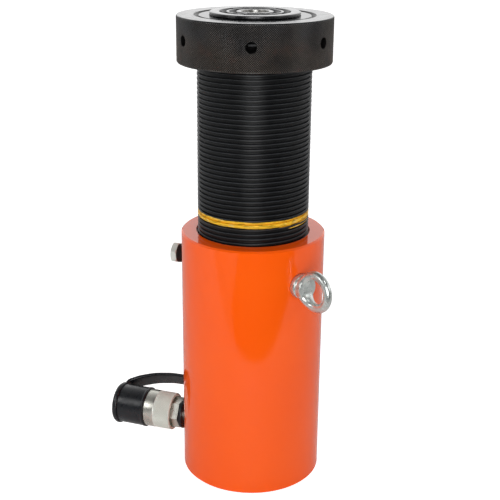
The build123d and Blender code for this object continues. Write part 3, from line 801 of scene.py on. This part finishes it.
# %% Wind a knurl
def knurled(built, radius, depth, bottom, top, edge, columns, rows):
    """A knurled band about Z, with a plain edge at both ends. Returns the loops at its ends."""
    loops = []
    for j in range(rows + 1):
        height = bottom + (top - bottom) * j / rows
        loop = []
        for i in range(columns):
            rim = j in (0, rows)
            sunk = edge if rim else (depth if (i + j) % 2 else 0.0)
            angle = tau * i / columns
            reach = radius - sunk
            loop.append(built.verts.new((reach * cos(angle), reach * sin(angle), height)))
        loops.append(loop)
    for j in range(rows):
        for i in range(columns):
            k = (i + 1) % columns
            a, b, c, d = loops[j][i], loops[j][k], loops[j + 1][k], loops[j + 1][i]
            for half in ((a, b, c), (a, c, d)) if (i + j) % 2 else ((a, b, d), (b, c, d)):
                built.faces.new(half)
    return loops[0], loops[-1]


# %% [markdown]
# ## The locking collar
#
# The collar is a heavy nut, 38 mm high, knurled from edge to edge, with six blind holes for a tommy bar.
# Its bore carries the plunger's thread turned inside out, with a tenth of a millimetre of play, so the
# two really fit and stay in step while the ram moves.
#
# The knurl and the bore are wound first and closed with two flat faces. The holes are cut last, as on the
# real collar, where the drill goes through the knurl. Each is slightly countersunk and ends in the
# drill's cone.

# %% Make the collar
collar_bottom, collar_top = collar_low.z, collar_high.z
THREAD_PLAY = 0.1 * MM
BORE_CHAMFER = 2.2 * MM
COLLAR_COLUMNS = 450
COLLAR_ROWS = 42
COLUMNS_PER_STRIP = 3
BORE_SEGMENTS = COLLAR_COLUMNS // COLUMNS_PER_STRIP
COLLAR_KNURL_DEPTH = 0.5 * MM
COLLAR_EDGE = 0.5 * MM
COLLAR_BEVEL = 0.3 * MM
HOLE_HEIGHT = 20.0 * MM
HOLE_TURN = radians(-74)
HOLES = 6


def collar_bore(height, stand):
    """Radius of the collar's thread, opened by the cone at each end."""
    thread = plunger_radius + THREAD_PLAY - THREAD_DEPTH * (1 - stand)
    open_end = plunger_radius + BORE_CHAMFER
    return max(thread, open_end - (height - collar_bottom), open_end - (collar_top - height))


built = bmesh.new()
knurl_from, knurl_to = collar_bottom + COLLAR_EDGE, collar_top - COLLAR_EDGE
knurl = (collar_radius, COLLAR_KNURL_DEPTH, knurl_from, knurl_to, COLLAR_BEVEL)
outer_low, outer_high = knurled(built, *knurl, COLLAR_COLUMNS, COLLAR_ROWS)
ends = (collar_bottom, collar_top)
bore_low, bore_high = wound(built, TRAPEZOID, PITCH, groove_turn, *ends, BORE_SEGMENTS, collar_bore)
for side, edge, bore in ((collar_bottom, outer_low, bore_low), (collar_top, outer_high, bore_high)):
    rim = ring(built, collar_radius - 0.7 * MM, side, COLLAR_COLUMNS)
    bridge(built, edge, rim)
    flat = ring(built, plunger_radius + BORE_CHAMFER, side, BORE_SEGMENTS)
    bridge(built, bore, flat)
    for i in range(BORE_SEGMENTS):
        start = COLUMNS_PER_STRIP * i
        strip = [rim[(start + k) % COLLAR_COLUMNS] for k in range(COLUMNS_PER_STRIP + 1)]
        built.faces.new([flat[i], *strip, flat[(i + 1) % BORE_SEGMENTS]])
collar = as_piece("collar", built, sharp=12)

# %% Drill the collar
DRILL = [(0, 46.0, 0), (4.5, 48.6, 0), (4.5, 64.2, 0), (5.3, 65.0, 0), (5.3, 70.0, 0), (0, 70.0, 0)]
drills = []
hole_middle = Matrix.Translation((0, 0, collar_bottom + HOLE_HEIGHT))
for i in range(HOLES):
    turn = Matrix.Rotation(HOLE_TURN + tau / HOLES * i, 4, "Z")
    outward = Matrix.Rotation(pi / 2, 4, "Y")
    drills.append(turned("drill", rounded(DRILL), 48, hole_middle @ turn @ outward))
combined(collar, [joined("drills", drills)], "DIFFERENCE", sharp=12)
mount(collar, "collar", "locking_collar", "black_oxide_collar", COLLAR_OXIDE, FACED)
SKIN = 0.1 * MM
recoat(collar, 1, lambda middle, normal: not collar_bottom + SKIN <= middle.z <= collar_top - SKIN)

# %% [markdown]
# ## The saddle
#
# The saddle is turned and hardened. Two wide grooves in its face keep a load from creeping. Seen from the
# camera's low place the grooves are dark only at the left and the right, where one looks along them, and
# elsewhere their rounded edges draw thin lines. The face is polished and the pocket in the middle is bare
# steel, so each face is told which of three finishes to take.

# %% Turn the saddle
saddle_face = saddle_high.z / MM
GROOVE = 2.4
POCKET = 7.6
# Each corner's radius, depth below the saddle's face, and edge
SADDLE_TOP = [
    (37.3, RIM_THICKNESS, 0.4),
    (37.3, 0, 0.9),
    (29.4, 0, 0.5),
    (29, GROOVE, 0.6),
    (23.8, GROOVE, 0.6),
    (23.4, 0, 0.5),
    (21.4, 0, 0.5),
    (21, GROOVE, 0.6),
    (15.6, GROOVE, 0.6),
    (15.2, 0, 0.5),
    (11.6, 0, 0.5),
    (11.6, POCKET, 0.4),
    (SCREW_BORE, POCKET, 0.3),
]
SADDLE = [(radius, saddle_face - depth, edge) for radius, depth, edge in SADDLE_TOP]
SADDLE = [*arc(BALL_RADIUS, pivot, SCREW_BORE, RIM_REACH, 10), *SADDLE]


def faces_up(middle, normal):
    """Whether a face belongs to the saddle's polished top."""
    reach = hypot(middle.x, middle.y)
    depth = 7.8 * MM if reach < 12.0 * MM else 3.0 * MM
    return reach < saddle_high.x - 0.3 * MM and middle.z > saddle_high.z - depth and normal.z > -0.1


def in_pocket(middle, normal):
    """Whether a face belongs to the pocket in the middle, which stays bare."""
    return faces_up(middle, normal) and hypot(middle.x, middle.y) < 11.8 * MM


tilting_saddle = turned("tilting_saddle", rounded(SADDLE, closed=True, steps=4), 160, closed=True)
mount(tilting_saddle, "saddle", "saddle", "black_oxide_saddle", OXIDE, POLISHED, BARE)
recoat(tilting_saddle, 1, faces_up)
recoat(tilting_saddle, 2, in_pocket)

# %% [markdown]
# ## The lifting eye bolt
#
# The eye bolt is forged, which shows in its shape: nothing on it has a sharp corner, the shoulder flows
# into the neck, and the ring grows as thick as the neck where it leaves it. Such a shape is awkward to
# model face by face. It is easier to put simple solids together, give them one common skin with a voxel
# remesh, and smooth it until the joints are as soft as the die left them. The bolt is made in its own
# frame, X up and down and Z out of the cylinder, and is then placed.

# %% Forge the eye bolt
EYE_TURN = radians(-32)
eye_seat = 61.6 * MM
eye_low, eye_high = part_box("lifting_eye_bolt")
eye_height = (eye_low.z + eye_high.z) / 2
EYE_FRAME = (
    Matrix.Rotation(EYE_TURN, 4, "Z")
    @ Matrix.Translation((eye_seat, 0, eye_height))
    @ Matrix.Rotation(pi / 2, 4, "Y")
)
STEM = [(0, -10, 0), (4, -10, 0.5), (4, 0, 0), (10.5, 0, 0.4), (10.5, 4.8, 1.4), (8.4, 5.4, 0), (0, 5.4, 0)]
NECK = [(0, 3.0, 0), (9.9, 3.0, 0), (9.4, 6.0, 2.0), (9.2, 10.9, 0.6), (0, 10.9, 0)]
stem = turned("stem", rounded(STEM, steps=5), 96)
neck = turned("neck", rounded(NECK, steps=5), 96)
BOW_CENTRE = 20.9
BOW_RADIUS = 14.0
BOW_HALF_WIDTH = 4.0
BOW_HALF_THICKNESS = 3.6
ROOT_GROWTH = 5.4
BOW_STEPS = 128
AROUND_STEPS = 40
sections = []
for i in range(BOW_STEPS):
    turn = tau * i / BOW_STEPS
    root = ((1 - cos(turn)) / 2) ** 5
    section = []
    for j in range(AROUND_STEPS):
        around = tau * j / AROUND_STEPS
        reach = BOW_RADIUS + BOW_HALF_WIDTH * cos(around)
        thick = (BOW_HALF_THICKNESS + ROOT_GROWTH * root) * sin(around)
        section.append((reach * sin(turn) * MM, thick * MM, (BOW_CENTRE + reach * cos(turn)) * MM))
    sections.append(section)
bow = swept("bow", sections, closed=True)
eye_bolt = joined("eye_bolt", [stem, neck, bow])
moulded(eye_bolt, 0.4 * MM)
eye_bolt.data.transform(EYE_FRAME)
mount(eye_bolt, "ram_body", "lifting_eye_bolt", "zinc_plated_steel", ZINC)

# %% [markdown]
# ## The overflow plug
#
# A hexagon plug closes the port that lets oil out when the plunger has gone too far. A few turns of its
# tapered pipe thread show, and the hexagon's corners are turned off at both ends. The chamfer is made as
# on the lathe: the hexagonal bar and a turned blank with coned ends keep only what they share.

# %% Make the plug
plug_height = (plug_low.z + plug_high.z) / 2
HEAD_SEAT = 69.9
HEAD_END = 75.5
HEAD_ACROSS = 17.0
HEAD_TURN = radians(-8)
PLUG_PITCH = 1.41 * MM
corner = HEAD_ACROSS / sqrt(3) * MM
turns = [pi / 3 * i + HEAD_TURN for i in range(6)]
hexagon = [(corner * cos(turn), corner * sin(turn)) for turn in turns]
bar = [[(*point, height * MM) for point in hexagon] for height in (HEAD_SEAT, HEAD_END)]
head = swept("head", bar, sharp=20)
BLANK = [
    (0, HEAD_SEAT, 0),
    (8.6, HEAD_SEAT, 0),
    (10.2, HEAD_SEAT + 0.9, 0),
    (10.2, HEAD_END - 1.1, 0),
    (8.1, HEAD_END, 0),
    (0, HEAD_END, 0),
]
blank = turned("blank", rounded(BLANK), 96)
combined(head, [blank], "INTERSECT", sharp=20)


def plug_shape(height, stand):
    """Tapered pipe thread."""
    return 8.0 * MM + (height - 62.5 * MM) / 16 - 0.8 * MM * (1 - stand)


built = bmesh.new()
low_loop, high_loop = wound(built, PIPE_FORM, PLUG_PITCH, 0.0, 52.6 * MM, 70.0 * MM, 72, plug_shape)
built.faces.new(low_loop)
built.faces.new(high_loop)
shank = as_piece("shank", built, sharp=50)
plug = joined("plug", [head, shank])
plug.data.transform(port_frame(plug_height))
plug.data.shade_smooth()
plug.data.set_sharp_from_angle(angle=radians(25))
mount(plug, "ram_body", "overflow_plug", "zinc_plated_steel", DULL_ZINC, BLACK_PLUG_THREAD)
# The plug's exposed pipe thread, between the hexagon and the cylinder, is coloured near black
recoat(plug, 1, lambda middle, normal: -middle.x < (HEAD_SEAT - 0.05) * MM)

# %% [markdown]
# ## The coupler's sleeve
#
# The sleeve spins on the coupler's body and screws onto the hose. Its rear half is knurled, and a smooth
# band runs in front of the knurl up to the step where the cap begins. The bore has the hose's thread,
# which shows once the cap is off.

# %% Make the sleeve
sleeve_back = -sleeve_high.x / MM
sleeve_front = -sleeve_low.x / MM
SLEEVE_RADIUS = 17.65
SLEEVE_SEGMENTS = 128
SLEEVE_ROWS = 18
SLEEVE_KNURL_DEPTH = 0.4
SLEEVE_BEVEL = 0.15
KNURL_END = 93.0
HOSE_RADIUS = 13.6
HOSE_DEPTH = 0.9
HOSE_PITCH = 1.81 * MM
hose_end = sleeve_front - 0.5
built = bmesh.new()
knurl_from, knurl_to = (sleeve_back + 0.7) * MM, KNURL_END * MM
knurl = (SLEEVE_RADIUS * MM, SLEEVE_KNURL_DEPTH * MM, knurl_from, knurl_to, SLEEVE_BEVEL * MM)
knurl_low, knurl_high = knurled(built, *knurl, SLEEVE_SEGMENTS, SLEEVE_ROWS)
back = [(15.0, sleeve_back + 5.8, 0), (15.0, sleeve_back, 0.3), (SLEEVE_RADIUS - 0.7, sleeve_back, 0.2)]
rear = add_rings(built, rounded(back), SLEEVE_SEGMENTS)
bridge(built, rear[-1], knurl_low)
front = [
    (SLEEVE_RADIUS - 0.1, KNURL_END + 0.3, 0),
    (SLEEVE_RADIUS, KNURL_END + 0.7, 0.2),
    (SLEEVE_RADIUS, sleeve_back + 26.5, 0.5),
    (16, sleeve_back + 26.5, 0),
    (16, sleeve_front, 0.7),
    (13.9, sleeve_front, 0.2),
    (HOSE_RADIUS, hose_end, 0),
]
mouth = add_rings(built, rounded(front), SLEEVE_SEGMENTS, first=knurl_high)


def hose_thread(height, stand):
    """Radius of the sleeve's inner thread, opened at the mouth."""
    cut = HOSE_DEPTH * (1 - stand) if height < (hose_end - 0.1) * MM else 0
    return (HOSE_RADIUS - cut) * MM


ends = ((sleeve_back + 13.0) * MM, hose_end * MM)
thread_low, thread_high = wound(built, PIPE_FORM, HOSE_PITCH, 0.0, *ends, SLEEVE_SEGMENTS, hose_thread)
bridge(built, mouth[-1], thread_high)
inside = [
    (HOSE_RADIUS, sleeve_back + 12, 0),
    (HOSE_RADIUS, sleeve_back + 9.8, 0),
    (12.05, sleeve_back + 9.8, 0),
    (12.05, sleeve_back + 5.8, 0),
]
floor_loops = add_rings(built, rounded(inside), SLEEVE_SEGMENTS, first=thread_low)
bridge(built, floor_loops[-1], rear[0])
sleeve = as_piece("sleeve", built, sharp=14)
sleeve.data.transform(PORT_FRAME)
mount(sleeve, "sleeve", "coupler_sleeve", "nickel_plated_steel", NICKEL, KNURL_NICKEL)
recoat(sleeve, 1, lambda middle, normal: -middle.x < (KNURL_END + 0.2) * MM)

# %% [markdown]
# ## The dust cap
#
# The cap is a soft cup of PVC. Its mouth has a rounded lip, because a sharp edge would tear, and its head
# holds the strap's eyelet in a groove.

# %% Make the dust cap
cap_mouth = -cap_high.x / MM
cap_face = -cap_low.x / MM
CAP = [
    (0, cap_face - 0.5, 0),
    (14.6, cap_face - 0.5, 0.6),
    (15.4, cap_face, 0.6),
    (18.4, cap_face, 0.8),
    (18.4, cap_face - 1.2, 0.4),
    (16.6, cap_face - 1.2, 0),
    (16.6, cap_face - 5, 0),
    (18.3, cap_face - 5, 0.3),
    (18.5, cap_mouth + 2.6, 0.8),
    (18.9, cap_mouth + 1.8, 0.8),
    (18.9, cap_mouth, 0.6),
    (16.05, cap_mouth, 0.3),
    (16.05, sleeve_front + 0.5, 0),
    (0, sleeve_front + 0.5, 0),
]
cap = turned("cap", rounded(CAP), 128)
cap.data.transform(PORT_FRAME)
mount(cap, "cap", "dust_cap", "black_pvc", PVC)

# %% [markdown]
# ## The cap's strap
#
# The strap that keeps the cap with the ram is one moulding: an eyelet that snaps into the cap, a flat
# band that arches back and leans to the side, and a second eyelet round the coupler's neck. The band is
# swept along its route with a rounded section, the eyelets are turned, and a voxel remesh runs the three
# together with a mould's soft inner corners.

# %% Make the strap
STRAP_LEAN = radians(55)
STRAP_WIDTH = 17.5
STRAP_THICKNESS = 3.2
EYELET_THICKNESS = 3.6
cap_eyelet_centre = -(cap_eyelet_low.x + cap_eyelet_high.x) / 2 / MM
neck_eyelet_centre = -(neck_eyelet_low.x + neck_eyelet_high.x) / 2 / MM
cap_eyelet_radius = (cap_eyelet_high.z - cap_eyelet_low.z) / 2 / MM
neck_eyelet_radius = (neck_eyelet_high.z - neck_eyelet_low.z) / 2 / MM
strap_span = cap_eyelet_centre - neck_eyelet_centre
ARCH = 35.0
ROUTE = [
    (cap_eyelet_centre - 0.2, cap_eyelet_radius - 2.6, 0),
    (cap_eyelet_centre - 1.4, cap_eyelet_radius + 0.9, 8),
    (cap_eyelet_centre - strap_span * 0.17, ARCH - 8.6, 30),
    (cap_eyelet_centre - strap_span * 0.38, ARCH - 3.4, 60),
    (cap_eyelet_centre - strap_span * 0.64, ARCH - 0.4, 60),
    (neck_eyelet_centre, ARCH, 10),
    (neck_eyelet_centre, neck_eyelet_radius - 3, 0),
]


def strap_point(place, aside):
    """A point by its place along and away from the port's axis, and by how far it lies to one side."""
    away = place.y * sin(STRAP_LEAN) + aside * cos(STRAP_LEAN)
    up = place.y * cos(STRAP_LEAN) - aside * sin(STRAP_LEAN)
    return -place.x, away, port_height + up


STRAP_EDGE = 1.3
SIDES = ((1, 1), (-1, 1), (-1, -1), (1, -1))
SECTION = [(STRAP_WIDTH / 2 * x, STRAP_THICKNESS / 2 * y, STRAP_EDGE) for x, y in SIDES]
route = rounded(ROUTE, steps=14)
section = rounded(SECTION, closed=True)
sections = []
for i, point in enumerate(route):
    ahead = route[min(i + 1, len(route) - 1)] - route[max(i - 1, 0)]
    normal = Vector((-ahead.y, ahead.x)).normalized()
    sections.append([strap_point(point + normal * through, across) for across, through in section])
band = swept("band", sections)


def eyelet(name, centre, inner, outer):
    """One of the strap's eyelets, in the port's frame."""
    low, high = centre - EYELET_THICKNESS / 2, centre + EYELET_THICKNESS / 2
    corners = [(inner, low, 0.3), (outer, low, 1.1), (outer, high, 1.1), (inner, high, 0.3)]
    return turned(name, rounded(corners, closed=True), 128, PORT_FRAME, closed=True)


cap_end = eyelet("cap_end", cap_eyelet_centre, 16.9, cap_eyelet_radius)
neck_end = eyelet("neck_end", neck_eyelet_centre, 8.8, neck_eyelet_radius)
strap = joined("cap_and_neck_strap", [band, cap_end, neck_end])
moulded(strap, 0.35 * MM)
coat(strap, PVC)
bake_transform(strap)
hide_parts("cap_strap", "cap_eyelet", "neck_eyelet")
print("strap:", len(strap.data.polygons), "faces")

# %% [markdown]
# ## The check valve's spring
#
# Inside the coupler a small spring holds a ball against its seat, until a hose is screwed on and lifts
# it. The spring has to shorten when the ball comes in, which a rigid solid can't do. It is wound once
# more here, a round wire swept along a helix.

# %% Wind the spring
SPRING_WIRE = 0.9 * MM
SPRING_TURNS = 6
WIRE_STEPS = 32 * SPRING_TURNS
spring_low, spring_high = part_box("check_spring")
coil_radius = (spring_high.y - spring_low.y - SPRING_WIRE) / 2
spring_root = spring_high.x - SPRING_WIRE / 2
spring_length = spring_high.x - spring_low.x - SPRING_WIRE
sections = []
for i in range(WIRE_STEPS + 1):
    share = i / WIRE_STEPS
    turn = tau * SPRING_TURNS * share
    out = Vector((0, cos(turn), sin(turn)))
    middle = Vector((spring_root - spring_length * share, 0, port_height)) + out * coil_radius
    section = []
    for j in range(12):
        around = tau * j / 12
        aside = out * cos(around) + Vector((sin(around), 0, 0))
        section.append(middle + aside * SPRING_WIRE / 2)
    sections.append(section)
spring = swept("valve_spring", sections)
mount(spring, "ram_body", "check_spring", "spring_steel", SPRING_STEEL)
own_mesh(spring)

# %% [markdown]
# ## Finish the pieces that the model already has right
#
# The other pieces are plain turned solids, which the engineering model has in their true shape. They keep
# it, and only get their finish.

# %% Coat the remaining pieces
FINISHES = {
    "cylinder_body": ENAMEL,
    "saddle_screw": FACED,
    "coupler_body": NICKEL,
    "valve_seat": NICKEL,
    "check_ball": BARE,
    "sleeve_ring": SPRING_STEEL,
    "nose_seal": NITRILE,
    "piston_seal": POLYURETHANE,
    "backup_ring": FILLED_PTFE,
    "guide_ring": FILLED_PTFE,
}
for name, finish in FINISHES.items():
    coat(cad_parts[name], finish)
print("coated", len(FINISHES), "pieces")

# %% [markdown]
# ## The room
#
# The ram stands on a white sweep under soft light. A glossy cylinder shows its whole surroundings, so
# they are laid out as in the studio, and each can be found on the enamel. The wall behind the sweep is
# overexposed, which gives the flat faces, seen at a glancing angle, their pale sheen. The camera's side
# is dim, apart from the softboxes. Seen from above, an upright face mirrors the floor in front of it:
# white up to the table's end, about 0.34 m in front of the ram, and dark beyond it, with a piece of dimly
# lit floor further left.
#
# The table's end can't be real, because the floor must reach to the edges of any view. So a black card
# and a grey one lie on the floor, and only mirror images see them.
#
# The main softbox stands low in front, which keeps the upright faces bright and the top faces darker. A
# small one above draws soft shadows downwards, and one at each side lights the cylinder's flanks.

# %% Build the room
scene = bpy.context.scene
world = bpy.data.worlds.new("room")
scene.world = world
world.use_nodes = True
tree = world.node_tree
tree.nodes.clear()
direction = add(tree, "TexCoord").outputs["Generated"]
facing = share_along(tree, direction, TO_CAMERA)
upward = add(tree, "SeparateXYZ", {"Vector": direction}).outputs["Z"]
around = spread(tree, facing, 0.12, 1.3, 0.35, -0.5, curve="SMOOTHSTEP")
above = spread(tree, upward, 1.0, 0.25, 0.3, 0.95, curve="SMOOTHSTEP")
level = calc(tree, "MULTIPLY", around, above)
white_wall = add(tree, "LightPath").outputs["Is Camera Ray"]
strength = calc(tree, "MAXIMUM", level, white_wall)
background = add(tree, "Background", {"Color": colour("FFFFFF"), "Strength": strength})
room_output = add(tree, "OutputWorld")
tree.links.new(background.outputs["Background"], room_output.inputs["Surface"])

# %% Lay the floor and the cards
built = bmesh.new()
bmesh.ops.create_circle(built, cap_ends=True, radius=9.0, segments=96)
floor_disc = as_piece("floor", built)
floor_material, tree, shader = new_material("white_sweep", Roughness=0.6, IOR=1.4)
link(tree, mix(tree, grains(tree, 0.3), "F0F0F0", "F4F4F4"), shader, "Base Color")
seen = add(tree, "LightPath").outputs["Is Camera Ray"]
link(tree, calc(tree, "MULTIPLY", seen, 0.8), shader, "Emission Strength")
shader.inputs["Emission Color"].default_value = colour("FFFFFF")
coat(floor_disc, floor_material)
CARD_HEIGHT = 0.5 * MM


def card(name, outline, dark, light):
    """A card that only mirror images see, outlined in metres ahead and to the right of the ram."""
    built = bmesh.new()
    for ahead, aside in outline:
        built.verts.new(TO_CAMERA * ahead + TO_RIGHT * aside + Vector((0, 0, CARD_HEIGHT)))
    built.faces.new(built.verts)
    sheet = as_piece(name, built)
    finish, tree, shader = new_material(name + "_felt", Roughness=1.0, IOR=1.1)
    link(tree, mix(tree, grains(tree, 0.05), dark, light), shader, "Base Color")
    coat(sheet, finish)
    sheet.visible_camera = False
    sheet.visible_diffuse = False
    sheet.visible_shadow = False


# The table's edge, and then the line between the dim floor on the left and the dark
EDGE = [(0.34, -0.15), (0.42, -0.26), (0.85, -0.26), (1.0, -2.0), (8.0, -4.0)]
card("black_card", [*EDGE, (8.0, 4.0), (0.25, 0.9)], "060606", "080808")
card("grey_card", [*reversed(EDGE), (0.34, -4.0)], "AEAEAE", "B2B2B2")


# %% Light the ram
def softbox(name, turn, rise, distance, size, power):
    """A square soft light, placed by its turn from the camera's side and its rise, aimed at the ram."""
    lamp = bpy.data.lights.new(name, "AREA")
    lamp.size = size
    lamp.energy = power
    light = bpy.data.objects.new(name, lamp)
    side = TO_CAMERA * cos(radians(turn)) + TO_RIGHT * sin(radians(turn))
    middle = Vector((0, 0, 0.2))
    way = side * cos(radians(rise)) + Vector((0, 0, sin(radians(rise))))
    light.location = middle + way * distance
    light.rotation_euler = (middle - light.location).to_track_quat("-Z", "Y").to_euler()
    scene.collection.objects.link(light)


softbox("key", -2, 8, 1.5, 0.8, 11.6)
softbox("top", 20, 58, 1.2, 0.2, 1.2)
softbox("fill_left", -62, 26, 1.5, 0.6, 3.8)
softbox("fill_right", 66, 26, 1.5, 0.6, 2.1)
print("room ready")
